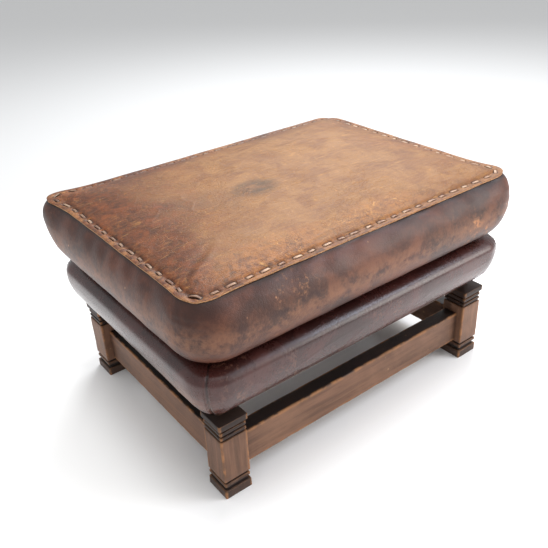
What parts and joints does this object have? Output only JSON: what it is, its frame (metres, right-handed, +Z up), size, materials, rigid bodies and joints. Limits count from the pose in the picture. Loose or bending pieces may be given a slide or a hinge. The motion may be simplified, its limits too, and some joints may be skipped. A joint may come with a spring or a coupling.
{
  "type": "ottoman",
  "caption": "Rectangular leather footstool: a hinged, thong-laced cushion lid on a shallow padded storage box, carried by square grooved wooden legs and low rails.",
  "frame": {"origin": "on the floor, under the middle of the ottoman", "axes": "+X along the length, -Y to the front (the side that lifts), +Z up"},
  "size_m": [0.716, 0.542, 0.4],
  "materials": {
    "frame_wood": "worn satin, dark stained grooves",
    "dowel_wood": "plain beech",
    "stained_board": "dark stain, matt",
    "box_wood": "plain plywood",
    "padding": "upholstery foam",
    "dark_leather": "semi-gloss, creased and scuffed",
    "tan_leather": "worn, satin, mottled",
    "lining_cloth": "plain woven cotton",
    "felt": "pressed felt",
    "steel": "dulled plate"
  },
  "bodies": {
    "box": {"leg_front_left": "frame_wood", "leg_front_right": "frame_wood", "leg_back_left": "frame_wood", "leg_back_right": "frame_wood", "front_rail": "frame_wood", "back_rail": "frame_wood", "left_rail": "frame_wood", "right_rail": "frame_wood", "rail_dowels": "dowel_wood", "leg_bolts": "steel", "base_board": "stained_board", "front_wall": "box_wood", "back_wall": "box_wood", "left_wall": "box_wood", "right_wall": "box_wood", "wall_dowels": "dowel_wood", "base_screws": "steel", "front_pad": "padding", "back_pad": "padding", "left_pad": "padding", "right_pad": "padding", "box_cover": "dark_leather", "box_lining": "lining_cloth", "hinge_box_leaves": "steel", "hinge_pins": "steel", "box_leaf_screws": "steel"},
    "lid": {"lid_board": "box_wood", "lid_lining": "lining_cloth", "cushion_foam": "padding", "cushion_side_band": "dark_leather", "cushion_top_panel": "tan_leather", "rim_thong": "tan_leather", "hinge_lid_leaves": "steel", "lid_leaf_screws": "steel", "felt_buffers": "felt"}
  },
  "joints": [
    {"name": "lid_hinge", "type": "hinge", "parent": "box", "child": "lid", "pos_m": [0, 0.262, 0.2645], "axis": [-1, 0, 0], "range_deg": [0, 95]}
  ]
}
